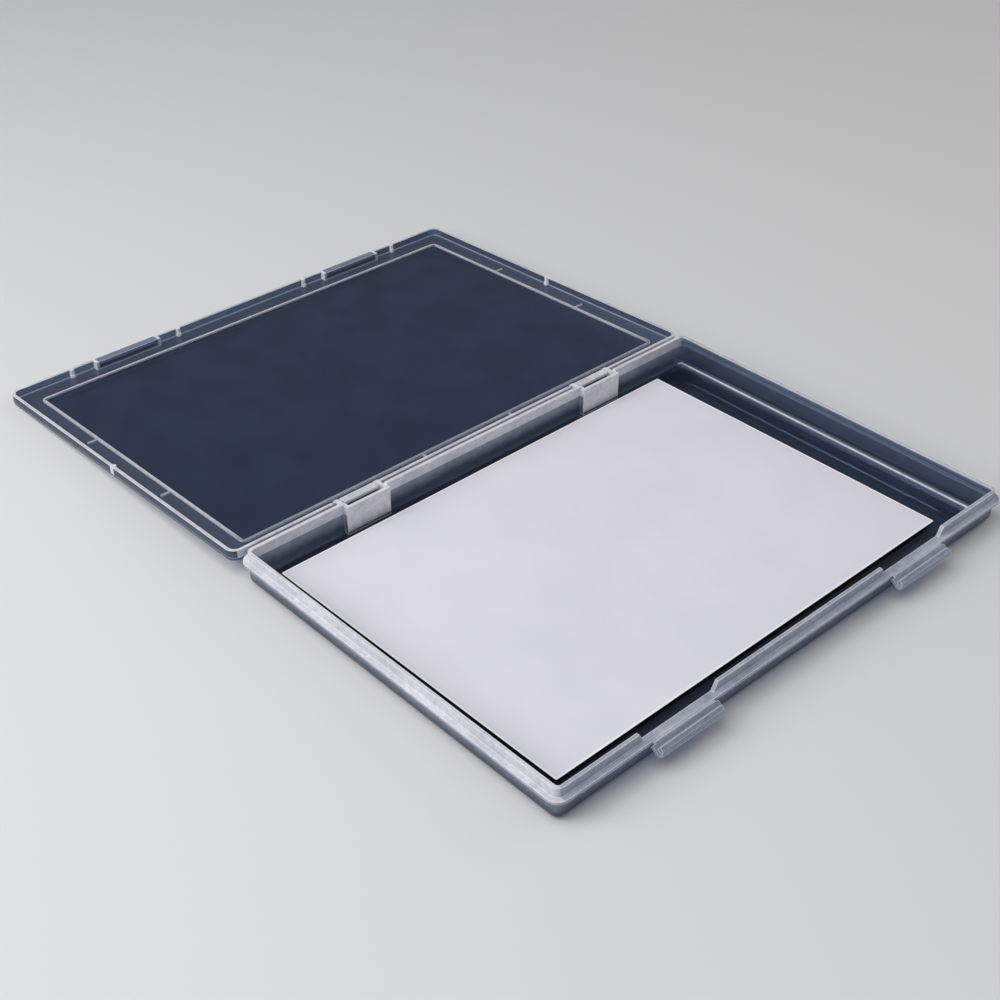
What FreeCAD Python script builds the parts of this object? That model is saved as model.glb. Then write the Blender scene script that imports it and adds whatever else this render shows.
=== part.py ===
import FreeCAD, Part
import Sketcher
import math
import os

# A flat wet palette: a clear moulded tray with a hinged lid and two snap latches,
# holding a thin sponge sheet with a sheet of palette paper on top.
# Millimetres. X runs along the hinge, -Y is the latch side, +Z is up.
# The origin is the centre of the tray's foot. The lid is drawn open and the latches
# are drawn hanging open, which is the rest position.

doc = FreeCAD.newDocument("wet_palette")

# closest distance, in mm, at which two positions count as the same
TOUCH = 1e-4
LATCH_CENTRES = ("-latch_offset", "latch_offset")
HINGE_CENTRES = ("-hinge_offset", "hinge_offset")

DIMENSIONS = [
    ("zero", 0.0),
    # tray, measured inside its upper lip
    ("tray_length", 240.0),
    ("tray_width", 164.4),
    ("tray_corner", 1.5),
    ("wall", 1.4),
    ("lip_top", 15.0),
    ("floor_top", 1.7),
    ("foot_height", 0.5),
    ("foot_inset", 9.0),
    ("foot_corner", 9.0),
    ("bottom_round", 3.0),
    ("floor_round", 1.8),
    # ledge around the outside of the tray
    ("ledge_reach", 3.5),
    ("ledge_top", 11.1),
    ("ledge_thick", 1.2),
    # latches and the gaps cut for them in the lip
    ("latch_offset", 65.0),
    ("gap_bottom", 34.5),
    ("gap_top", 38.5),
    ("strip_width", 30.0),
    ("strip_thick", 0.4),
    ("strip_end", 4.0),
    ("pivot_reach", 4.4),
    ("pivot_height", 10.5),
    ("root_radius", 0.35),
    ("tab_width", 32.5),
    ("tab_length", 5.1),
    ("tab_thick", 1.2),
    ("tab_corner", 1.6),
    ("hook_width", 30.4),
    ("hook_start", 1.95),
    ("hook_height", 2.4),
    ("hook_depth", 1.5),
    ("hook_bevel", 0.7),
    ("latch_open", 126.0),
    # hinges
    ("hinge_offset", 65.0),
    ("axis_reach", 5.0),
    ("axis_height", 11.9),
    ("pocket_width", 18.7),
    ("cheek_thick", 1.4),
    ("plate_proud", 2.3),
    ("plate_thick", 1.2),
    ("plate_top", 14.5),
    ("ear_radius", 2.1),
    ("hole_radius", 1.26),
    ("pin_radius", 1.2),
    ("pin_gap", 0.3),
    ("barrel_radius", 1.4),
    ("barrel_width", 18.1),
    ("tab_reach", 2.8),
    ("tab_rise", 1.8),
    ("tab_side", 16.4),
    ("mark_length", 3.8),
    ("mark_height", 2.2),
    ("mark_proud", 0.3),
    ("mark_corner", 0.8),
    ("hinge_clear", 0.45),
    # lid
    ("lid_reach", 4.0),
    ("lid_corner", 4.5),
    ("lid_wall", 1.3),
    ("lid_panel", 1.2),
    ("lid_depth", 3.7),
    ("lid_gap", 0.2),
    ("lid_round", 1.0),
    ("lid_inner_round", 0.9),
    ("catch_width", 34.0),
    ("catch_wall", 1.2),
    ("catch_bar", 0.8),
    ("bead_width", 1.1),
    ("bead_height", 0.6),
    ("bead_side", 6.2),
    ("bead_near", 4.0),
    ("bead_far", 6.9),
    ("bead_corner", 2.5),
    ("rib_spacing", 28.3),
    ("rib_radius", 0.95),
    ("rib_foot", 1.25),
    ("rib_foot_height", 1.1),
    ("tick_width", 0.9),
    ("tick_height", 0.5),
    ("tick_length", 5.0),
    ("rear_tick_length", 3.3),
    ("tick_spacing", 24.0),
    # sponge sheet and palette paper
    ("sheet_length", 210.0),
    ("sheet_width", 148.0),
    ("sheet_thick", 0.2),
    ("sponge_length", 208.6),
    ("sponge_width", 146.6),
    ("sponge_thick", 1.1),
    ("sponge_corner", 2.0),
    ("sheet_left", 5.3),
    ("sheet_back", 3.1),
    ("sheet_turn", 0.35),
]

DERIVED = [
    ("lid_drop", "=lip_top + lid_gap - axis_height"),
    ("lid_rise", "=lid_depth - lid_drop"),
    ("lid_near", "=axis_reach - lid_reach"),
    ("lid_far", "=axis_reach + tray_width + lid_reach"),
    ("lid_skin", "=lid_drop + lid_panel"),
    ("lid_span", "=sqrt(lid_far * lid_far + lid_skin * lid_skin)"),
    ("lid_slope", "=asin(axis_height / lid_span) - atan(lid_skin / lid_far)"),
]

sheet = doc.addObject("Spreadsheet::Sheet", "dims")
sheet.Label = "dims"


def fill_sheet():
    """Write every driving size into its own named cell."""
    for row, (name, value) in enumerate(DIMENSIONS + DERIVED, start=1):
        sheet.set("A%d" % row, name)
        sheet.set("B%d" % row, str(value))
        sheet.setAlias("B%d" % row, name)
    doc.recompute()


def cell(formula):
    """Turn a formula written with plain size names into one that reads the sheet."""
    names = sorted((name for name, _ in DIMENSIONS + DERIVED), key=len, reverse=True)
    text = formula
    for index, name in enumerate(names):
        text = text.replace(name, "{%d}" % index)
    for index, name in enumerate(names):
        text = text.replace("{%d}" % index, "dims." + name)
    return text


def new_body(label):
    body = doc.addObject("PartDesign::Body", label)
    body.Label = label
    return body


def attach(feature, body, role="XY_Plane"):
    """Fix a feature to one of its own body's origin planes."""
    plane = next(item for item in body.Origin.OriginFeatures if item.Role == role)
    feature.AttachmentSupport = (plane, [""])
    feature.MapMode = "FlatFace"


def evaluate(formula):
    """The present value of a formula, used to draw an outline close to its final size."""
    return float(sheet.evalExpression(cell(formula)))


def bind(sketch, name, constraint, formula):
    """Add one named sketch constraint driven by a formula."""
    index = sketch.addConstraint(constraint)
    sketch.renameConstraint(index, name)
    sketch.setExpression("Constraints." + name, cell(formula))


def rounded(length, near, far, radius):
    """A rounded rectangle, centred on X, between two Y positions."""
    def draw(sketch, tag):
        first = sketch.GeometryCount
        half = evaluate(length) / 2
        low, high, r = evaluate(near), evaluate(far), evaluate(radius)
        corners = [(half - r, low + r, -math.pi / 2), (half - r, high - r, 0),
                   (r - half, high - r, math.pi / 2), (r - half, low + r, math.pi)]
        sides = [((r - half, low), (half - r, low)), ((half, low + r), (half, high - r)),
                 ((half - r, high), (r - half, high)), ((-half, high - r), (-half, low + r))]
        for (start, end), (x, y, turn) in zip(sides, corners):
            line = Part.LineSegment(FreeCAD.Vector(*start), FreeCAD.Vector(*end))
            circle = Part.Circle(FreeCAD.Vector(x, y), FreeCAD.Vector(0, 0, 1), r)
            sketch.addGeometry(line, False)
            sketch.addGeometry(Part.ArcOfCircle(circle, turn, turn + math.pi / 2), False)
        for side in range(4):
            line, arc, following = (first + (2 * side + step) % 8 for step in range(3))
            sketch.addConstraint(Sketcher.Constraint("Tangent", line, 2, arc, 1))
            sketch.addConstraint(Sketcher.Constraint("Tangent", arc, 2, following, 1))
            rule = "Vertical" if side % 2 else "Horizontal"
            sketch.addConstraint(Sketcher.Constraint(rule, line))
            if side:
                sketch.addConstraint(Sketcher.Constraint("Equal", first + 1, arc))
        bottom, right, top, left = (first + 2 * side for side in range(4))
        bind(sketch, tag + "round", Sketcher.Constraint("Radius", first + 1, r), radius)
        bind(sketch, tag + "full",
             Sketcher.Constraint("DistanceX", left, 1, right, 1, 2 * half), length)
        bind(sketch, tag + "half",
             Sketcher.Constraint("DistanceX", -1, 1, right, 1, half), "(%s) / 2" % length)
        bind(sketch, tag + "far", Sketcher.Constraint("DistanceY", -1, 1, top, 1, high), far)
        bind(sketch, tag + "deep",
             Sketcher.Constraint("DistanceY", bottom, 1, top, 1, high - low),
             "(%s) - (%s)" % (far, near))
    return draw


def path(*points, arc=None):
    """A closed outline through points given by formulas; one side may be a half circle."""
    def draw(sketch, tag):
        first = sketch.GeometryCount
        count = len(points)
        places = [FreeCAD.Vector(evaluate(x), evaluate(y), 0) for x, y in points]
        for i in range(count):
            start, end = places[i], places[(i + 1) % count]
            if i == arc:
                middle = (start + end) / 2
                out = (end - start).cross(FreeCAD.Vector(0, 0, 1)) / 2
                sketch.addGeometry(Part.Arc(start, middle + out, end), False)
            else:
                sketch.addGeometry(Part.LineSegment(start, end), False)
        for i in range(count):
            rule = "Tangent" if arc is not None and i == arc - 1 else "Coincident"
            following = first + (i + 1) % count
            sketch.addConstraint(Sketcher.Constraint(rule, first + i, 2, following, 1))
        for i, (x, y) in enumerate(points):
            for rule, formula, value in (("DistanceX", x, places[i].x),
                                         ("DistanceY", y, places[i].y)):
                name = "%s%s%d" % (tag, rule[-1].lower(), i)
                bind(sketch, name, Sketcher.Constraint(rule, -1, 1, first + i, 1, value),
                     formula)
    return draw


def lozenge(centre, middle):
    """A small slot-shaped mould mark."""
    low, high = around(middle, "mark_height")
    left, right = around(centre, "mark_length")
    cut = "mark_corner"
    return path((left + " + " + cut, low), (right + " - " + cut, low),
                (right, low + " + " + cut), (right, high + " - " + cut),
                (right + " - " + cut, high), (left + " + " + cut, high),
                (left, high + " - " + cut), (left, low + " + " + cut))


def rectangle(xs, ys):
    return path((xs[0], ys[0]), (xs[1], ys[0]), (xs[1], ys[1]), (xs[0], ys[1]))


def circle(x, y, radius):
    def draw(sketch, tag):
        first = sketch.GeometryCount
        centre = FreeCAD.Vector(evaluate(x), evaluate(y), 0)
        ring = Part.Circle(centre, FreeCAD.Vector(0, 0, 1), evaluate(radius))
        sketch.addGeometry(ring, False)
        bind(sketch, tag + "x",
             Sketcher.Constraint("DistanceX", -1, 1, first, 3, centre.x), x)
        bind(sketch, tag + "y",
             Sketcher.Constraint("DistanceY", -1, 1, first, 3, centre.y), y)
        bind(sketch, tag + "r", Sketcher.Constraint("Radius", first, ring.Radius), radius)
    return draw


def outline(body, name, level, loops, role="XY_Plane"):
    """A sketch at one distance from an origin plane, holding one or more closed loops."""
    sketch = body.newObject("Sketcher::SketchObject", name + "_outline")
    attach(sketch, body, role)
    sketch.setExpression("AttachmentOffset.Base.z", cell(level))
    for index, draw in enumerate(loops):
        draw(sketch, "abcdefgh"[index])
    doc.recompute()
    return sketch


def extrude(body, name, kind, level, length, loops, role="XY_Plane", reverse=False):
    """Pad or pocket an outline, making sure that the body grows or shrinks."""
    before = body.Shape.Volume if body.Tip else 0.0
    profile = outline(body, name, level, loops, role)
    feature = body.newObject("PartDesign::" + kind, name)
    feature.Profile = profile
    feature.Reversed = reverse
    feature.setExpression("Length", cell(length))
    doc.recompute()
    change = body.Shape.Volume - before
    if (change > 0) != (kind == "Pad"):
        raise RuntimeError("%s changed the volume by %g" % (name, change))
    return feature


def pad(body, name, level, length, *loops, role="XY_Plane"):
    """Add material above the level, or in front of it along the plane's normal."""
    return extrude(body, name, "Pad", level, length, loops, role)


def pocket(body, name, level, length, *loops, role="XY_Plane"):
    """Cut upwards from the level, or forwards along the plane's normal."""
    return extrude(body, name, "Pocket", level, length, loops, role, reverse=True)


def primitive(body, kind, name, corner, along_x=False, **sizes):
    """A box or cylinder whose corner and sizes are formulas of the sheet."""
    feature = body.newObject("PartDesign::" + kind, name)
    attach(feature, body)
    if along_x:
        turn = FreeCAD.Rotation(FreeCAD.Vector(0, 1, 0), 90)
        feature.AttachmentOffset = FreeCAD.Placement(FreeCAD.Vector(), turn)
    for axis, formula in zip("xyz", corner):
        feature.setExpression("AttachmentOffset.Base." + axis, cell(formula))
    for key, formula in sizes.items():
        feature.setExpression(key, cell(formula))
    doc.recompute()
    return feature


def box(body, name, xs, ys, zs):
    """A block between two X, two Y and two Z positions."""
    spans = ["(%s) - (%s)" % (high, low) for low, high in (xs, ys, zs)]
    return primitive(body, "AdditiveBox", name, (xs[0], ys[0], zs[0]),
                     Length=spans[0], Width=spans[1], Height=spans[2])


def rod(body, name, xs, y, z, radius, cut=False):
    """A cylinder lying along X."""
    kind = "SubtractiveCylinder" if cut else "AdditiveCylinder"
    return primitive(body, kind, name, (xs[0], y, z), along_x=True,
                     Radius=radius, Height="(%s) - (%s)" % (xs[1], xs[0]))


def soften(body, name, radius, wanted, kind="Fillet"):
    """Round or bevel every edge of the body so far that passes the test."""
    tip = body.Tip
    edges = ["Edge%d" % number for number, edge in enumerate(tip.Shape.Edges, start=1)
             if wanted(edge)]
    if not edges:
        raise RuntimeError(name + " found no edge")
    feature = body.newObject("PartDesign::" + kind, name)
    feature.Base = (tip, edges)
    feature.setExpression("Radius" if kind == "Fillet" else "Size", cell(radius))
    doc.recompute()
    return feature


def around(centre, width):
    """The two ends of a span centred on a position."""
    return ("%s - (%s) / 2" % (centre, width), "%s + (%s) / 2" % (centre, width))


def flat_at(level):
    """Picks edges that lie wholly at one height."""
    def wanted(edge):
        span = edge.BoundBox
        return abs(span.ZMin - level) < TOUCH and abs(span.ZMax - level) < TOUCH
    return wanted


def make_tray():
    body = new_body("base_tray")
    front = "-tray_width / 2"
    rear = "tray_width / 2"
    outside = rounded("tray_length + 2 * wall", front + " - wall", rear + " + wall",
                      "tray_corner + wall")
    pad(body, "tray_block", "foot_height", "lip_top - foot_height", outside)
    soften(body, "tray_bottom_round", "bottom_round", flat_at(sheet.foot_height))
    pad(body, "tray_foot", "zero", "foot_height",
        rounded("tray_length - 2 * foot_inset", front + " + foot_inset",
                rear + " - foot_inset", "foot_corner"))
    pad(body, "tray_ledge", "ledge_top - ledge_thick", "ledge_thick",
        rounded("tray_length + 2 * ledge_reach", front + " - ledge_reach",
                rear + " + ledge_reach", "tray_corner + ledge_reach"))
    pocket(body, "tray_hollow", "floor_top", "lip_top",
           rounded("tray_length", front, rear, "tray_corner"))
    soften(body, "tray_floor_round", "floor_round", flat_at(sheet.floor_top))
    cut_latch_gaps(body)
    add_hinge_ears(body)
    return body


def cut_latch_gaps(body):
    """Open the front lip down to the ledge, with sloping ends, and add the thin strips."""
    gaps = []
    strips = []
    for centre in LATCH_CENTRES:
        low = around(centre, "gap_bottom")
        high = around(centre, "gap_top")
        gaps.append(path((low[0], "ledge_top"), (low[1], "ledge_top"),
                         (high[1], "lip_top"), (high[0], "lip_top")))
        strips.append(rectangle(around(centre, "strip_width"),
                                ("-tray_width / 2 - strip_end",
                                 "-tray_width / 2 - ledge_reach / 2")))
    extrude(body, "latch_gaps", "Pocket", "tray_width / 2 + wall", "wall", gaps,
            role="XZ_Plane", reverse=False)
    pad(body, "latch_strips", "pivot_height - strip_thick / 2", "strip_thick", *strips)


def add_hinge_ears(body):
    """Set a plate forward of the rear wall at each hinge, and carry eared cheeks to the pin."""
    rear = "tray_width / 2"
    plate_front = rear + " - plate_proud"
    plate_back = plate_front + " + plate_thick"
    axis = rear + " + axis_reach"
    cheeks = "pocket_width + 2 * cheek_thick"
    beyond = rear + " + ledge_reach + wall"
    pocket(body, "hinge_lip_gaps", "plate_top", "wall",
           *[rectangle(around(centre, cheeks), (plate_front, beyond)) for centre in HINGE_CENTRES])
    pad(body, "hinge_plates", "foot_height", "plate_top - foot_height",
        *[rectangle(around(centre, cheeks), (plate_front, rear)) for centre in HINGE_CENTRES])
    for centre, tag in zip(HINGE_CENTRES, ("left", "right")):
        ends = around(centre, cheeks)
        pad(body, "hinge_ears_" + tag, ends[0], cheeks,
            path((rear, "axis_height - ear_radius"), (axis, "axis_height - ear_radius"),
                 (axis, "axis_height + ear_radius"), (rear, "axis_height + ear_radius"),
                 arc=1),
            role="YZ_Plane")
    pocket(body, "hinge_middles", "-wall", "lip_top + 2 * wall",
           *[rectangle(around(centre, "pocket_width"), (plate_back, axis + " + 2 * ear_radius"))
             for centre in HINGE_CENTRES])
    rod(body, "hinge_holes", around("zero", "2 * hinge_offset + 2 * pocket_width"), axis,
        "axis_height", "hole_radius", cut=True)
    marks = [lozenge(centre, "(floor_top + plate_top) / 2") for centre in HINGE_CENTRES]
    pad(body, "hinge_marks", "-(%s)" % plate_front, "mark_proud", *marks, role="XZ_Plane")


def make_lid():
    """The lid, drawn about its hinge line with its inner face up, then laid open."""
    body = new_body("lid")
    pad(body, "lid_block", "-lid_skin", "lid_skin + lid_rise",
        rounded("tray_length + 2 * lid_reach", "lid_near", "lid_far", "lid_corner"))
    soften(body, "lid_edge_round", "lid_round", flat_at(-sheet.lid_skin))
    pocket(body, "lid_hollow", "-lid_drop", "lid_depth",
           rounded("tray_length + 2 * lid_reach - 2 * lid_wall", "lid_near + lid_wall",
                   "lid_far - lid_wall", "lid_corner - lid_wall"))
    soften(body, "lid_inner_edge", "lid_inner_round", flat_at(-sheet.lid_drop))
    near = "axis_reach + bead_near"
    far = "axis_reach + tray_width - bead_far"
    length = "tray_length - 2 * bead_side"
    pad(body, "lid_bead", "-lid_drop", "bead_height",
        rounded(length + " + bead_width", near + " - bead_width / 2", far + " + bead_width / 2",
                "bead_corner"),
        rounded(length + " - bead_width", near + " + bead_width / 2", far + " - bead_width / 2",
                "bead_corner - bead_width"))
    add_catches(body)
    add_ribs(body)
    add_knuckles(body)
    body.setExpression("Placement.Base.y", cell("tray_width / 2 + axis_reach"))
    body.setExpression("Placement.Base.z", cell("axis_height"))
    turn_about(body, "x", "-lid_slope")
    return body


def turn_about(body, axis, angle):
    """Turn a body about one of its own axes by a formula."""
    directions = {"x": FreeCAD.Vector(1, 0, 0), "z": FreeCAD.Vector(0, 0, 1)}
    body.Placement.Rotation = FreeCAD.Rotation(directions[axis], 1)
    body.setExpression("Placement.Rotation.Axis." + axis, "1")
    body.setExpression("Placement.Rotation.Angle", cell(angle))


def add_catches(body):
    """Step the front skirt inwards and leave a bar along its rim for each latch to hook."""
    inner = "axis_reach + tray_width"
    pad(body, "catch_walls", "-lid_drop", "lid_depth",
        *[rectangle(around(centre, "catch_width"), (inner, "lid_far - lid_wall / 2"))
          for centre in LATCH_CENTRES])
    pocket(body, "catch_recesses", "-lid_drop", "lid_depth - catch_bar",
           *[rectangle(around(centre, "catch_width - 2 * catch_wall"),
                       (inner + " + catch_wall", "lid_far + wall"))
             for centre in LATCH_CENTRES])


def add_ribs(body):
    """Upright ribs on the skirt's inner face with rounder feet, and short bars by the bead."""
    middle = "(lid_near + lid_far) / 2"
    side = "(tray_length / 2 + lid_reach - lid_wall)"
    places = [("-" + side, middle), (side, middle)]
    for centre in LATCH_CENTRES:
        places += [("%s %s rib_spacing" % (centre, sign), "lid_far - lid_wall")
                   for sign in "-+"]
    pad(body, "lid_ribs", "-lid_drop", "lid_depth",
        *[circle(x, y, "rib_radius") for x, y in places])
    pad(body, "lid_rib_feet", "-lid_drop", "rib_foot_height",
        *[circle(x, y, "rib_foot") for x, y in places])
    bead = "tray_length / 2 - bead_side"
    reach = bead + " + tick_length"
    bars = []
    for sign in "-+":
        ys = around("%s %s rib_spacing" % (middle, sign), "tick_width")
        bars.append(rectangle((bead, reach), ys))
        bars.append(rectangle(("-(%s)" % reach, "-(%s)" % bead), ys))
        bars.append(rectangle(around("zero %s tick_spacing" % sign, "tick_width"),
                              ("axis_reach + bead_near - rear_tick_length",
                               "axis_reach + bead_near")))
    pad(body, "lid_bars", "-lid_drop", "tick_height", *bars)


def add_knuckles(body):
    """Clear the rear skirt at each hinge and add the tongue with its barrel and stub pins."""
    cheeks = "pocket_width + 2 * cheek_thick"
    pocket(body, "knuckle_gaps", "-lid_drop", "lid_depth",
           *[rectangle(around(centre, cheeks + " + 2 * hinge_clear"),
                       ("lid_near - wall", "lid_near + lid_wall")) for centre in HINGE_CENTRES])
    under = "-lid_skin + lid_round / 3"
    for centre, tag in zip(HINGE_CENTRES, ("left", "right")):
        ends = around(centre, "barrel_width")
        pad(body, "knuckle_" + tag, ends[0], "barrel_width",
            path(("-barrel_radius", under), ("lid_near + lid_wall", under),
                 ("lid_near + lid_wall", "-lid_drop"), ("barrel_radius", "-lid_drop"),
                 ("barrel_radius", "zero"), ("-barrel_radius", "zero"), arc=4),
            role="YZ_Plane")
        pad(body, "knuckle_tab_" + tag, around(centre, "tab_side")[0], "tab_side",
            path(("-tab_reach", "tab_rise / 4"), ("-barrel_radius", "-barrel_radius / 2"),
                 ("zero", "-barrel_radius / 2"), ("barrel_radius", "barrel_radius / 2"),
                 ("barrel_radius / 2", "tab_rise"), ("-tab_reach + tab_rise / 4", "tab_rise"),
                 ("-tab_reach", "3 * tab_rise / 4")),
            role="YZ_Plane")
        rod(body, "knuckle_pins_" + tag, around(centre, cheeks + " - 2 * pin_gap"), "zero",
            "zero", "pin_radius")


def make_latch(centre, label):
    """One snap latch, drawn upright about its bending line, then swung down to rest."""
    body = new_body(label)
    box(body, label + "_plate", around("zero", "tab_width"), ("-tab_thick", "zero"),
        ("root_radius / 3", "tab_length"))
    soften(body, label + "_corners", "tab_corner", tab_corner_edges)
    box(body, label + "_hook", around("zero", "hook_width"), ("-tab_thick / 2", "hook_depth"),
        ("hook_start", "hook_start + hook_height"))
    soften(body, label + "_bevel", "hook_bevel", hook_tip_edges, kind="Chamfer")
    rod(body, label + "_root", around("zero", "strip_width"), "zero", "zero", "root_radius")
    body.setExpression("Placement.Base.x", cell(centre))
    body.setExpression("Placement.Base.y", cell("-tray_width / 2 - pivot_reach"))
    body.setExpression("Placement.Base.z", cell("pivot_height"))
    turn_about(body, "x", "latch_open * 1deg")
    return body


def tab_corner_edges(edge):
    """The two free corners of the tab."""
    span = edge.BoundBox
    across = span.YLength > TOUCH and span.XLength < TOUCH and span.ZLength < TOUCH
    return across and abs(span.ZMax - sheet.tab_length) < TOUCH


def hook_tip_edges(edge):
    """The hook's upper inner edge, which leads it over the bar."""
    span = edge.BoundBox
    top = sheet.hook_start + sheet.hook_height
    inner = abs(span.YMin - sheet.hook_depth) < TOUCH
    return inner and span.YLength < TOUCH and abs(span.ZMin - top) < TOUCH


def make_sheet(label, length, width, thick, corner, level):
    """A flat sheet lying on the tray's floor, turned slightly as it was laid."""
    body = new_body(label)
    pad(body, label + "_block", "zero", thick,
        rounded(length, "-(%s) / 2" % width, "(%s) / 2" % width, corner))
    body.setExpression("Placement.Base.x", cell("-sheet_left"))
    body.setExpression("Placement.Base.y", cell("sheet_back"))
    body.setExpression("Placement.Base.z", cell(level))
    turn_about(body, "z", "sheet_turn * 1deg")
    return body


def check_and_write(bodies):
    """Stop on any broken feature, then write one file per piece."""
    for item in doc.Objects:
        if "Invalid" in item.State or "Error" in item.State:
            raise RuntimeError(item.Name + " did not build")
        shape = getattr(item, "Shape", None)
        if shape is not None and item.isDerivedFrom("PartDesign::Feature"):
            if shape.isNull() or not shape.isValid():
                raise RuntimeError(item.Name + " has a bad shape")
    os.makedirs("parts", exist_ok=True)
    for body in bodies:
        if len(body.Shape.Solids) != 1:
            raise RuntimeError(body.Label + " is not one solid")
        body.Shape.exportStep("parts/" + body.Label + ".step")
        print(body.Label, "volume", round(body.Shape.Volume, 1), body.Shape.BoundBox)


fill_sheet()
pieces = [
    make_tray(),
    make_lid(),
    make_latch(LATCH_CENTRES[0], "latch_left"),
    make_latch(LATCH_CENTRES[1], "latch_right"),
    make_sheet("sponge_sheet", "sponge_length", "sponge_width", "sponge_thick",
               "sponge_corner", "floor_top"),
    make_sheet("palette_paper", "sheet_length", "sheet_width", "sheet_thick",
               "sponge_corner / 4", "floor_top + sponge_thick"),
]
doc.recompute()
check_and_write(pieces)
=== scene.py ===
import math

import bpy
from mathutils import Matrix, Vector, noise


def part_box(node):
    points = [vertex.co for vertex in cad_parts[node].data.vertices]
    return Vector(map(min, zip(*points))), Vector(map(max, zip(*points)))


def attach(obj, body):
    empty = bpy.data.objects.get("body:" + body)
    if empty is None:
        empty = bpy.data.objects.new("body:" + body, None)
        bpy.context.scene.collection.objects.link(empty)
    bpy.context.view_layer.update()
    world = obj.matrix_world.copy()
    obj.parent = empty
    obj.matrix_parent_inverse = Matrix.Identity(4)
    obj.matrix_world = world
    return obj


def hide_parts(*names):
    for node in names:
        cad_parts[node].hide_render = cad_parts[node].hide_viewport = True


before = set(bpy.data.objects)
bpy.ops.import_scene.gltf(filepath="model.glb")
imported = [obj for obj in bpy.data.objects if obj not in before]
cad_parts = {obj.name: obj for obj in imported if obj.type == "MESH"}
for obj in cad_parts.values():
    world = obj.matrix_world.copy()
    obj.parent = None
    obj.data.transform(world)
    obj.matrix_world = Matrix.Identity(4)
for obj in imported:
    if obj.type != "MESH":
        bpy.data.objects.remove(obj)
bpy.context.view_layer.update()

MM = 0.001

# camera: the photograph's viewpoint, in the row frame
CAMERA_AT = (-0.37567, -0.33165, 0.37780)
CAMERA_TURN = (54.6255, -0.2008, -42.6156)
CAMERA_LENS = 57.86
SENSOR = 36.0

# places on the tray
FLOOR_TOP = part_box("sponge_sheet")[0][2]
RIM_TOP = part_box("base_tray")[1][2]
LIP_FOOT = 10.5 * MM
LEFT_LIP = -119.75 * MM
NEAR_LIP = -81.95 * MM
RIGHT_WALL = 118.9 * MM
FOOT_LINE = 117.0 * MM

# places on the hinges, which stand at the same distance from the middle as the latches
HINGE_X = 65.0 * MM
PLATE_HALF = 10.85 * MM
PLATE_FRONT = 79.9 * MM
EAR_SIDE = 9.3 * MM
EAR_FOOT = 13.2 * MM
TONGUE_NEAR = -1.9 * MM
TONGUE_FAR = 1.6 * MM
TONGUE_TOP = 1.2 * MM

# places on the lid as it was drawn: from its axis outwards, and above its axis
LID_AXIS = (0.0, 87.2 * MM, 11.9 * MM)
LID_SLOPE = math.radians(2.4473)
PANEL_SKIN = -3.24 * MM
SKIRT_TOP = 0.22 * MM
BEAD_X = 113.8 * MM
BEAD_NEAR = 9.0 * MM
BEAD_FAR = 162.5 * MM
BEAD_HALF = 0.55 * MM
RIB_STEP = 28.3 * MM
RIB_HALF = 1.25 * MM
CATCH_END = 15.6 * MM
CATCH_WALL = 1.6 * MM
FAR_SKIRT = 169.4 * MM
SIDE_RIB = 87.2 * MM
SIDE_SKIRT = 121.35 * MM

# looks of the clear plastic
PALE_TINT = (0.90, 0.925, 0.955, 1.0)
PANEL_TINT = (0.33, 0.395, 0.515, 1.0)
WALL_TINT = (0.275, 0.325, 0.41, 1.0)
PANEL_DEPTH = 0.89
BLUE_MILK = (0.68, 0.78, 0.98, 1.0)
WHITE_MILK = (0.90, 0.91, 0.96, 1.0)
LEAST_HAZE = 0.007
MOST_HAZE = 0.92
# painted highlight: how wide and how strong the white on the rims and corners is
RIM_HIGHLIGHT_WIDTH = 0.55 * MM
RIM_HIGHLIGHT_STRENGTH = 3.2
MIRROR_SHARE = 0.5

# how milky the tray's lip, walls and hinge plates are, with painted light, shade and highlights
# where marked
REAR_MILK = 0.67
LEFT_MILK = 0.62
NEAR_MILK = 0.37
RIGHT_MILK = 0.08
# painted highlight on the top of the right wall's rim
RIGHT_RIM_HIGHLIGHT = 0.55
WALL_MILK = 0.30
# painted light: the lit left and near lower walls are milkier than the rear and right ones
LIT_WALL_MILK = 0.40
RIGHT_WALL_MILK = 0.03
# painted highlight: a white line along the foot of the right wall
FOOT_LINE_HIGHLIGHT = 0.6
# the hinge plates' frost, raised as painted light on their dim faces; their foot clears as a
# painted contact shadow
PLATE_FROST_AND_LIGHT = 0.76
PLATE_FOOT_SHADOW = 0.05
EAR_SHARE = 0.8

# how milky the lid's places and the latches are, with painted light and highlights where marked
BORDER_MILK = 0.06
# painted highlight along the bead's top, weaker on the hinge side
BEAD_HIGHLIGHT = 0.48
HINGE_BEAD_HIGHLIGHT = 0.24
PANEL_FOOT_MILK = 0.30
NEAR_SKIRT_MILK = 0.52
# painted highlight on the skirt's rim, weaker over the catches
LID_RIM_HIGHLIGHT = 0.62
CATCH_RIM_HIGHLIGHT = 0.22
CATCH_MILK = 0.08
# painted highlight on the ribs and the catches' end walls
RIB_HIGHLIGHT = 0.8
# painted light on the tongues' top faces, leaving their fronts darker
TONGUE_TOP_LIGHT = 0.38
LATCH_FOOT_MILK = 0.34
LATCH_TOP_MILK = 0.26

# colours of the sheets and the floor
PAPER_DULL = (0.725, 0.72, 0.795, 1.0)
PAPER_BRIGHT = (0.765, 0.755, 0.825, 1.0)
# painted highlight along the paper's edges
PAPER_EDGE_HIGHLIGHT = (0.96, 0.96, 0.98, 1.0)
SPONGE_SKIN = (0.78, 0.77, 0.74, 1.0)
SPONGE_PORE = (0.58, 0.57, 0.53, 1.0)
FLOOR_GREY = (0.70, 0.705, 0.71, 1.0)

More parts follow.
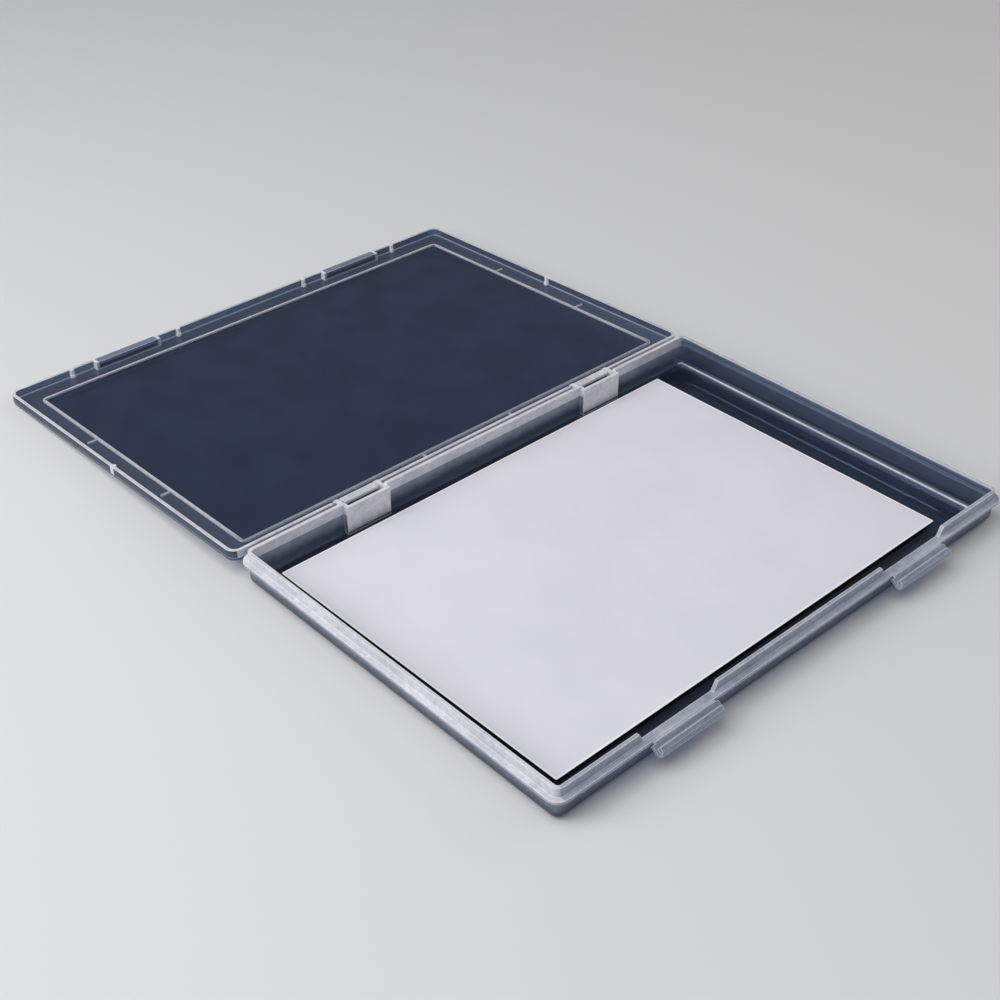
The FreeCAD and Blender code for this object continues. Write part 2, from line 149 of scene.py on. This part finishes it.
# the loose sheets
SHEET_PLACE = (-0.0053, 0.0031)
SHEET_TURN = math.radians(0.35)
PAPER_SIZE = (0.210, 0.148)
SPONGE_SIZE = (0.2086, 0.1466)
# width of the painted highlight along the paper's edges
PAPER_HIGHLIGHT_BAND = 0.7 * MM


def nodes_for(name):
    """A new material with an empty node tree and its output."""
    mat = bpy.data.materials.new(name)
    mat.use_nodes = True
    tree = mat.node_tree
    tree.nodes.clear()
    out = tree.nodes.new("ShaderNodeOutputMaterial")
    return mat, tree, out


def add(tree, kind, inputs=None, **settings):
    """Add one node, set its properties, and set or link its named inputs."""
    node = tree.nodes.new(kind)
    for key, value in settings.items():
        setattr(node, key, value)
    for key, value in (inputs or {}).items():
        if isinstance(value, bpy.types.NodeSocket):
            tree.links.new(value, node.inputs[key])
        else:
            node.inputs[key].default_value = value
    return node


def maths(tree, operation, first, second=0.0, clamp=False):
    node = add(tree, "ShaderNodeMath", {0: first, 1: second}, operation=operation)
    node.use_clamp = clamp
    return node.outputs[0]


def ramp(tree, value, low, high, to_low=0.0, to_high=1.0, smooth=True):
    """Remap a value between two limits, clamped."""
    node = add(tree, "ShaderNodeMapRange",
               {"Value": value, "From Min": low, "From Max": high,
                "To Min": to_low, "To Max": to_high})
    node.interpolation_type = "SMOOTHSTEP" if smooth else "LINEAR"
    node.clamp = True
    return node.outputs["Result"]


def slab(tree, value, low, high, soft=0.2 * MM):
    """1 where a coordinate lies between two limits, fading over a soft edge."""
    rise = ramp(tree, value, low - soft, low + soft)
    fall = ramp(tree, value, high - soft, high + soft, 1.0, 0.0)
    return maths(tree, "MULTIPLY", rise, fall)


def own_place(tree):
    """The place in the object's own space, which moves with the piece."""
    return add(tree, "ShaderNodeTexCoord").outputs["Object"]


def split(tree, vector):
    """The X, Y and Z of a vector."""
    return add(tree, "ShaderNodeSeparateXYZ", {0: vector}).outputs


def rim_highlight_mask(tree, radius, strength):
    """Painted highlight: white on the rims and corners of a moulding, where clear plastic catches
    light.
    """
    rounded = add(tree, "ShaderNodeBevel", {"Radius": radius}, samples=4)
    flat = add(tree, "ShaderNodeNewGeometry")
    turned = add(tree, "ShaderNodeVectorMath",
                 {0: rounded.outputs[0], 1: flat.outputs["Normal"]}, operation="DOT_PRODUCT")
    away = maths(tree, "SUBTRACT", 1.0, turned.outputs["Value"])
    return maths(tree, "MULTIPLY", away, strength, clamp=True)


def times(tree, *values):
    """The product of several sockets or numbers."""
    total = values[0]
    for value in values[1:]:
        total = maths(tree, "MULTIPLY", total, value)
    return total


def most(tree, *values):
    """The largest of several sockets or numbers."""
    total = values[0]
    for value in values[1:]:
        total = maths(tree, "MAXIMUM", total, value)
    return total


def clear_plastic(name, regions):
    """Clear moulded plastic: tinted see-through, a milky share, painted white highlights on its
    rims and corners, and a glossy skin.

    regions is a function of the place in the object's own space. It returns how deeply the
    plastic is tinted, from 0 to 1, how milky it is there, and how much painted highlight its rims
    and corners get.
    """
    mat, tree, out = nodes_for(name)
    place = own_place(tree)
    cloud = add(tree, "ShaderNodeTexNoise",
                {"Vector": place, "Scale": 55.0, "Detail": 3.0, "Roughness": 0.55})
    depth, haze, highlight_share = regions(tree, place)
    grain = add(tree, "ShaderNodeTexNoise",
                {"Vector": place, "Scale": 420.0, "Detail": 3.0, "Roughness": 0.6})
    uneven = times(tree, ramp(tree, cloud.outputs["Fac"], 0.3, 0.7, 0.84, 1.16, smooth=False),
                   ramp(tree, grain.outputs["Fac"], 0.3, 0.7, 0.86, 1.14, smooth=False))
    haze = maths(tree, "MULTIPLY", uneven, haze)
    depth = maths(tree, "MULTIPLY", ramp(tree, cloud.outputs["Fac"], 0.3, 0.7, 0.96, 1.04), depth)
    # painted highlight: white added on the rims and corners
    rim_highlights = times(tree, rim_highlight_mask(tree, RIM_HIGHLIGHT_WIDTH, RIM_HIGHLIGHT_STRENGTH), highlight_share)
    haze = maths(tree, "MINIMUM", maths(tree, "ADD", haze, rim_highlights), MOST_HAZE)
    ripple = add(tree, "ShaderNodeBump",
                 {"Strength": 0.2, "Distance": 0.2 * MM, "Height": cloud.outputs["Fac"]})
    tint = add(tree, "ShaderNodeValToRGB", {"Fac": depth})
    stops = tint.color_ramp.elements
    stops[0].color = PALE_TINT
    stops[1].color = WALL_TINT
    stops.new(PANEL_DEPTH).color = PANEL_TINT
    whiteness = ramp(tree, haze, 0.15, 0.6)
    tone = add(tree, "ShaderNodeMix", {"Factor": whiteness, "A": BLUE_MILK, "B": WHITE_MILK},
               data_type="RGBA")
    see = add(tree, "ShaderNodeBsdfTransparent", {"Color": tint.outputs["Color"]})
    milk = add(tree, "ShaderNodeBsdfPrincipled",
               {"Base Color": tone.outputs["Result"], "Roughness": 0.35,
                "Specular IOR Level": 0.5, "IOR": 1.49, "Normal": ripple.outputs[0]})
    body = add(tree, "ShaderNodeMixShader", {0: haze, 1: see.outputs[0], 2: milk.outputs[0]})
    gloss = add(tree, "ShaderNodeBsdfGlossy",
                {"Color": (1.0, 1.0, 1.0, 1.0), "Roughness": 0.16, "Normal": ripple.outputs[0]})
    facing = add(tree, "ShaderNodeFresnel", {"IOR": 1.45, "Normal": ripple.outputs[0]})
    mirror = maths(tree, "MULTIPLY", facing.outputs[0], MIRROR_SHARE)
    mixed = add(tree, "ShaderNodeMixShader",
                {0: mirror, 1: body.outputs[0], 2: gloss.outputs[0]})
    tree.links.new(mixed.outputs[0], out.inputs["Surface"])
    return mat


def above(tree, value, level, soft=0.2 * MM):
    """1 above a level, 0 below it."""
    return ramp(tree, value, level - soft, level + soft)


def below(tree, value, level, soft=0.2 * MM):
    """1 below a level, 0 above it."""
    return ramp(tree, value, level - soft, level + soft, 1.0, 0.0)


def tray_regions(tree, place):
    """A tinted floor and walls, a milkier lip and ledge, and frosted hinge plates and ears, with
    painted light, a painted contact shadow and painted highlights where marked.
    """
    axes = split(tree, place)
    height = axes["Z"]
    from_hinge = maths(tree, "SUBTRACT", maths(tree, "ABSOLUTE", axes["X"]), HINGE_X)
    from_hinge = maths(tree, "ABSOLUTE", from_hinge)
    at_hinge = below(tree, from_hinge, PLATE_HALF)
    rear = above(tree, axes["Y"], PLATE_FRONT - 0.5 * MM, 0.1 * MM)
    skin = below(tree, axes["Y"], PLATE_FRONT + 0.5 * MM, 0.1 * MM)
    ear = times(tree, above(tree, from_hinge, EAR_SIDE, 0.1 * MM), above(tree, height, EAR_FOOT))
    # frosted plates with painted light, cleared towards the foot as a painted contact shadow
    plate = times(tree, at_hinge, rear, most(tree, skin, times(tree, ear, EAR_SHARE)),
                  ramp(tree, height, FLOOR_TOP + 0.5 * MM, FLOOR_TOP + 1.7 * MM,
                       PLATE_FOOT_SHADOW, PLATE_FROST_AND_LIGHT))

    right = above(tree, axes["X"], RIGHT_WALL, 0.9 * MM)
    left = below(tree, axes["X"], LEFT_LIP, 0.15 * MM)
    near = below(tree, axes["Y"], NEAR_LIP, 0.15 * MM)
    clearer = most(tree, times(tree, right, REAR_MILK - RIGHT_MILK),
                   times(tree, near, REAR_MILK - NEAR_MILK))
    # the right wall's rim gets a painted highlight
    upper = most(tree, maths(tree, "SUBTRACT", REAR_MILK, clearer), times(tree, left, LEFT_MILK),
                 times(tree, right, above(tree, height, RIM_TOP - 0.7 * MM), RIGHT_RIM_HIGHLIGHT))
    lip = times(tree, above(tree, height, LIP_FOOT), upper)
    # painted light on the lit left and near walls
    lower = most(tree, ramp(tree, right, 0.0, 1.0, WALL_MILK, RIGHT_WALL_MILK),
                 times(tree, left, LIT_WALL_MILK), times(tree, near, LIT_WALL_MILK))
    wall = times(tree, ramp(tree, height, FLOOR_TOP + 0.2 * MM, LIP_FOOT, 0.15, 1.0), lower)
    wall = times(tree, above(tree, height, FLOOR_TOP + 0.1 * MM, 0.05 * MM), wall)
    # painted highlight along the foot of the right wall
    low_down = slab(tree, height, FLOOR_TOP + 0.05 * MM, FLOOR_TOP + 0.5 * MM, 0.1 * MM)
    foot_highlight = times(tree, low_down, above(tree, axes["X"], FOOT_LINE, 0.5 * MM),
                      FOOT_LINE_HIGHLIGHT)
    haze = most(tree, plate, lip, wall, foot_highlight, LEAST_HAZE)

    depth = ramp(tree, height, LIP_FOOT - 0.5 * MM, LIP_FOOT + 0.3 * MM, 1.0, 0.40)
    depth = most(tree, depth, times(tree, right, 0.8))
    depth = maths(tree, "SUBTRACT", depth, plate, clamp=True)
    # painted highlight on the edges, weaker low down and on the hinge plates
    rim_highlight_share = maths(tree, "SUBTRACT", ramp(tree, height, 0.8 * MM, 1.6 * MM, 0.35, 1.0),
                    times(tree, plate, 0.75), clamp=True)
    return depth, haze, rim_highlight_share


def lid_axes(tree, place):
    """Positions on the lid as it was drawn: along the hinge, away from it, and above its axis."""
    shifted = add(tree, "ShaderNodeVectorMath", {0: place, 1: LID_AXIS}, operation="SUBTRACT")
    level = add(tree, "ShaderNodeVectorRotate",
                {"Vector": shifted.outputs[0], "Angle": LID_SLOPE}, rotation_type="X_AXIS")
    return split(tree, level.outputs[0])


def bead_mask(tree, across, away):
    """1 on the raised bead that runs round the lid's panel, and 1 on the panel inside it."""
    outer_x = below(tree, across, BEAD_X + BEAD_HALF, 0.1 * MM)
    outer_y = slab(tree, away, BEAD_NEAR - BEAD_HALF, BEAD_FAR + BEAD_HALF, 0.1 * MM)
    inner_x = below(tree, across, BEAD_X - BEAD_HALF, 0.1 * MM)
    inner_y = slab(tree, away, BEAD_NEAR + BEAD_HALF, BEAD_FAR - BEAD_HALF, 0.1 * MM)
    panel = times(tree, inner_x, inner_y)
    return maths(tree, "SUBTRACT", times(tree, outer_x, outer_y), panel, clamp=True), panel


def lid_regions(tree, place):
    """A tinted panel, a milkier border, painted highlights on the bead, rim and ribs, and painted
    light on the hinge tongues' tops.
    """
    own = lid_axes(tree, place)
    across = maths(tree, "ABSOLUTE", own["X"])
    inner_side = above(tree, own["Z"], PANEL_SKIN, 0.04 * MM)
    bead, panel = bead_mask(tree, across, own["Y"])
    border = ramp(tree, panel, 0.0, 1.0, BORDER_MILK, 0.0)
    # painted highlight along the bead
    bead = times(tree, bead, inner_side,
                 ramp(tree, own["Y"], BEAD_NEAR, 2 * BEAD_NEAR, HINGE_BEAD_HIGHLIGHT, BEAD_HIGHLIGHT))
    foot = slab(tree, own["Z"], PANEL_SKIN + 0.15 * MM, PANEL_SKIN + 0.5 * MM, 0.05 * MM)
    foot = times(tree, foot, maths(tree, "SUBTRACT", 1.0, panel), PANEL_FOOT_MILK)
    near_skirt = times(tree, slab(tree, own["Y"], 0.9 * MM, 1.5 * MM, 0.1 * MM),
                       above(tree, own["Z"], PANEL_SKIN + 0.25 * MM), NEAR_SKIRT_MILK)

    from_latch = maths(tree, "ABSOLUTE", maths(tree, "SUBTRACT", across, HINGE_X))
    far_side = above(tree, own["Y"], FAR_SKIRT)
    catch = times(tree, below(tree, from_latch, CATCH_END, 0.1 * MM), far_side)
    # painted highlight on the skirt's rim
    rim = times(tree, above(tree, own["Z"], SKIRT_TOP, 0.12 * MM),
                ramp(tree, catch, 0.0, 1.0, LID_RIM_HIGHLIGHT, CATCH_RIM_HIGHLIGHT))
    at_ribs = slab(tree, from_latch, RIB_STEP - RIB_HALF, RIB_STEP + RIB_HALF, 0.1 * MM)
    at_ends = slab(tree, from_latch, CATCH_END, CATCH_END + CATCH_WALL, 0.1 * MM)
    at_side = times(tree, slab(tree, own["Y"], SIDE_RIB - RIB_HALF, SIDE_RIB + RIB_HALF, 0.1 * MM),
                    above(tree, across, SIDE_SKIRT, 0.15 * MM))
    # painted highlight on the ribs and the catches' end walls
    ribs = most(tree, times(tree, most(tree, at_ribs, at_ends), far_side), at_side)
    ribs = times(tree, ribs, inner_side, RIB_HIGHLIGHT)
    # painted light on the tongues' tops
    lit_tongue_top = times(tree, slab(tree, own["Y"], TONGUE_NEAR, TONGUE_FAR),
                       above(tree, own["Z"], TONGUE_TOP), TONGUE_TOP_LIGHT)
    catch = times(tree, catch, inner_side, CATCH_MILK)
    haze = most(tree, border, bead, rim, near_skirt, foot, ribs, lit_tongue_top, catch, LEAST_HAZE)

    depth = ramp(tree, own["Z"], PANEL_SKIN, PANEL_SKIN + 0.35 * MM, PANEL_DEPTH, 1.0)
    less = most(tree, ribs, lit_tongue_top, near_skirt)
    depth = maths(tree, "SUBTRACT", depth, less, clamp=True)
    # no painted edge highlight on the slot's side, so the slot stays dark
    slot_side = times(tree, below(tree, own["Y"], 0.2 * MM), below(tree, own["Z"], 1.5 * MM))
    return depth, haze, ramp(tree, slot_side, 0.0, 1.0, 1.0, 0.0)


def latch_regions(tree, place):
    """Milky and less tinted than the mouldings, most of both low down."""
    low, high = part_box("latch_left")
    shade = ramp(tree, split(tree, place)["Z"], low[2], high[2], LATCH_FOOT_MILK, LATCH_TOP_MILK)
    depth = ramp(tree, shade, LATCH_TOP_MILK, LATCH_FOOT_MILK, 0.66, 0.76)
    return depth, shade, 1.0


def paper_material():
    """Smooth parchment: cool white, faint cloudy marks, a fine tooth and a painted highlight along
    its edges.
    """
    mat, tree, out = nodes_for("palette_parchment")
    place = own_place(tree)
    axes = split(tree, place)
    cloud = add(tree, "ShaderNodeTexNoise",
                {"Vector": place, "Scale": 22.0, "Detail": 5.0, "Roughness": 0.6})
    tooth = add(tree, "ShaderNodeTexNoise",
                {"Vector": place, "Scale": 2200.0, "Detail": 3.0, "Roughness": 0.7})
    tone = ramp(tree, cloud.outputs["Fac"], 0.3, 0.7)
    sheet_tone = add(tree, "ShaderNodeMix",
                     {"Factor": tone, "A": PAPER_DULL, "B": PAPER_BRIGHT}, data_type="RGBA")
    half_x, half_y = PAPER_SIZE[0] / 2, PAPER_SIZE[1] / 2
    # painted highlight: a white band along the sheet's edges
    edge_highlight = most(tree,
               above(tree, maths(tree, "ABSOLUTE", axes["X"]), half_x - PAPER_HIGHLIGHT_BAND, 0.1 * MM),
               above(tree, maths(tree, "ABSOLUTE", axes["Y"]), half_y - PAPER_HIGHLIGHT_BAND, 0.1 * MM))
    colour = add(tree, "ShaderNodeMix",
                 {"Factor": edge_highlight, "A": sheet_tone.outputs["Result"], "B": PAPER_EDGE_HIGHLIGHT},
                 data_type="RGBA")
    bump = add(tree, "ShaderNodeBump",
               {"Strength": 0.2, "Distance": 0.06 * MM, "Height": tooth.outputs["Fac"]})
    rough = ramp(tree, cloud.outputs["Fac"], 0.3, 0.7, 0.5, 0.6)
    skin = add(tree, "ShaderNodeBsdfPrincipled",
               {"Base Color": colour.outputs["Result"], "Roughness": rough,
                "Specular IOR Level": 0.35, "Normal": bump.outputs[0]})
    tree.links.new(skin.outputs[0], out.inputs["Surface"])
    return mat


def sponge_material():
    """Fine open cellulose: pale, with small darker pores."""
    mat, tree, out = nodes_for("sponge_cells")
    place = own_place(tree)
    cells = add(tree, "ShaderNodeTexVoronoi", {"Vector": place, "Scale": 900.0})
    pores = ramp(tree, cells.outputs["Distance"], 0.15, 0.5)
    colour = add(tree, "ShaderNodeMix",
                 {"Factor": pores, "A": SPONGE_SKIN, "B": SPONGE_PORE}, data_type="RGBA")
    bump = add(tree, "ShaderNodeBump",
               {"Strength": 0.8, "Distance": 0.3 * MM, "Height": pores}, invert=True)
    skin = add(tree, "ShaderNodeBsdfPrincipled",
               {"Base Color": colour.outputs["Result"], "Roughness": 0.9,
                "Specular IOR Level": 0.2, "Normal": bump.outputs[0]})
    tree.links.new(skin.outputs[0], out.inputs["Surface"])
    return mat


def edge_steps(half, step, fine):
    """Grid positions from -half to half, closer together near both ends."""
    close = [half - offset for offset in fine]
    inner = close[-1]
    count = max(2, round(2 * inner / step))
    even = [-inner + 2 * inner * i / count for i in range(1, count)]
    return [-value for value in close] + even + close[::-1]


def onto_corner(x, y, half_x, half_y, corner):
    """Pull a grid point of a rectangle in to its rounded corner."""
    over_x = abs(x) - (half_x - corner)
    over_y = abs(y) - (half_y - corner)
    if over_x <= 0 or over_y <= 0:
        return x, y
    pull = max(over_x, over_y) / math.hypot(over_x, over_y)
    new_x = half_x - corner + over_x * pull
    new_y = half_y - corner + over_y * pull
    return math.copysign(new_x, x), math.copysign(new_y, y)


def edge_drop(x, y, half_x, half_y, edge):
    """How far a rounded edge falls away from the flat face at a point."""
    inside = min(half_x - abs(x), half_y - abs(y), edge)
    return edge - math.sqrt(max(0.0, edge * edge - (edge - inside) ** 2))


def make_sheet(name, size, low, high, corner, edge, step, relief):
    """A thin slab of closed, fine mesh with rounded corners and edges.

    relief gives how far the lower and the upper face rise at a point of the sheet.
    """
    half_x, half_y = size[0] / 2, size[1] / 2
    fine = [0.0, 0.3 * edge, edge, 2 * edge, corner + 2 * edge]
    xs = edge_steps(half_x, step, fine)
    ys = edge_steps(half_y, step, fine)
    count_x, count_y = len(xs), len(ys)
    verts = []
    for upper in (False, True):
        for y in ys:
            for x in xs:
                drop = edge_drop(x, y, half_x, half_y, edge)
                px, py = onto_corner(x, y, half_x, half_y, corner)
                z = high - drop if upper else low + drop
                verts.append((px, py, z + relief(px, py)[upper]))
    layer = count_x * count_y
    faces = []
    for j in range(count_y - 1):
        for i in range(count_x - 1):
            first = j * count_x + i
            ring = (first, first + 1, first + 1 + count_x, first + count_x)
            faces.append(ring[::-1])
            faces.append(tuple(layer + index for index in ring))
    border = list(range(count_x))
    border += [j * count_x + count_x - 1 for j in range(1, count_y)]
    border += [(count_y - 1) * count_x + i for i in range(count_x - 2, -1, -1)]
    border += [j * count_x for j in range(count_y - 2, 0, -1)]
    for here, after in zip(border, border[1:] + border[:1]):
        faces.append((here, after, layer + after, layer + here))
    mesh = bpy.data.meshes.new(name)
    mesh.from_pydata(verts, [], faces)
    mesh.shade_smooth()
    piece = bpy.data.objects.new(name, mesh)
    piece.location = (SHEET_PLACE[0], SHEET_PLACE[1], 0.0)
    piece.rotation_euler = (0.0, 0.0, SHEET_TURN)
    bpy.context.collection.objects.link(piece)
    return piece


def waves(x, y, length, seed):
    """Smooth noise from 0 to 1 with waves of about the given length."""
    return 0.5 + 0.5 * noise.noise(Vector((x / length, y / length, seed)))


def paper_relief(x, y):
    """The sheet cockles a little where damp has reached it, and both faces move together."""
    cockle = waves(x, y, length=0.055, seed=3.0)
    ripple = waves(x, y, length=0.012, seed=8.0)
    rise = 0.14 * MM * cockle + 0.03 * MM * ripple
    return rise, rise


def sponge_relief(x, y):
    """Only the upper face is uneven: soft swells and small open cells."""
    swell = waves(x, y, length=0.021, seed=5.0)
    cells = waves(x, y, length=0.0032, seed=11.0)
    return 0.0, -0.07 * MM * swell - 0.09 * MM * cells


def make_paper():
    low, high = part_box("palette_paper")
    paper = make_sheet("parchment_sheet", PAPER_SIZE, low[2], high[2], corner=0.5 * MM,
                       edge=0.08 * MM, step=2.5 * MM, relief=paper_relief)
    paper.data.materials.append(paper_material())
    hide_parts("palette_paper")
    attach(paper, "paper")
    return paper


def make_sponge():
    low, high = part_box("sponge_sheet")
    sponge = make_sheet("sponge_pad", SPONGE_SIZE, low[2], high[2], corner=2.0 * MM,
                        edge=0.45 * MM, step=1.3 * MM, relief=sponge_relief)
    sponge.data.materials.append(sponge_material())
    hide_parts("sponge_sheet")
    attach(sponge, "sponge")
    return sponge


def floor_material():
    mat, tree, out = nodes_for("pale_floor")
    skin = add(tree, "ShaderNodeBsdfPrincipled",
               {"Base Color": FLOOR_GREY, "Roughness": 0.75,
                "Specular IOR Level": 0.25})
    tree.links.new(skin.outputs[0], out.inputs["Surface"])
    return mat


def finish_node(name, material):
    """Give a CAD node its material."""
    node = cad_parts[name]
    node.data.materials.clear()
    node.data.materials.append(material)
    return node


def make_floor():
    """A wide plain floor, just under the object."""
    reach = 4.0
    drop = -0.02 * MM
    mesh = bpy.data.meshes.new("floor")
    corners = [(-reach, -reach, drop), (reach, -reach, drop),
               (reach, reach, drop), (-reach, reach, drop)]
    mesh.from_pydata(corners, [], [(0, 1, 2, 3)])
    floor = bpy.data.objects.new("floor", mesh)
    bpy.context.collection.objects.link(floor)
    mesh.materials.append(floor_material())


def area_light(name, place, target, size, power, colour=(1.0, 1.0, 1.0)):
    data = bpy.data.lights.new(name, "AREA")
    data.shape = "RECTANGLE"
    data.size, data.size_y = size
    data.energy = power
    data.color = colour
    light = bpy.data.objects.new(name, data)
    light.location = place
    aim = Vector(target) - Vector(place)
    light.rotation_euler = aim.to_track_quat("-Z", "Y").to_euler()
    bpy.context.collection.objects.link(light)


def light_scene():
    centre = (0.0, 0.09, 0.0)
    area_light("overhead", (-0.6, 0.12, 1.1), centre, size=(1.2, 1.0), power=9.0)
    area_light("left", (-0.95, 0.45, 0.62), centre, size=(0.8, 0.6), power=5.4)
    area_light("right", (1.4, -0.3, 0.8), centre, size=(0.8, 0.6), power=3.2,
               colour=(1.0, 0.86, 0.74))
    world = bpy.data.worlds.new("soft_world")
    world.use_nodes = True
    sky = world.node_tree.nodes["Background"]
    sky.inputs["Color"].default_value = (0.93, 0.95, 1.0, 1.0)
    sky.inputs["Strength"].default_value = 0.30
    bpy.context.scene.world = world


def make_camera():
    data = bpy.data.cameras.new("camera")
    data.sensor_width = SENSOR
    data.lens = CAMERA_LENS
    data.clip_start = 0.01
    camera = bpy.data.objects.new("camera", data)
    camera.location = CAMERA_AT
    camera.rotation_euler = [math.radians(angle) for angle in CAMERA_TURN]
    bpy.context.collection.objects.link(camera)
    bpy.context.scene.camera = camera


finish_node("base_tray", clear_plastic("tray_plastic", tray_regions))
finish_node("lid", clear_plastic("lid_plastic", lid_regions))
latch_look = clear_plastic("latch_plastic", latch_regions)
finish_node("latch_left", latch_look)
finish_node("latch_right", latch_look)

sponge_piece = make_sponge()
paper_piece = make_paper()

make_floor()
light_scene()
make_camera()
bpy.context.scene.view_settings.view_transform = "Standard"
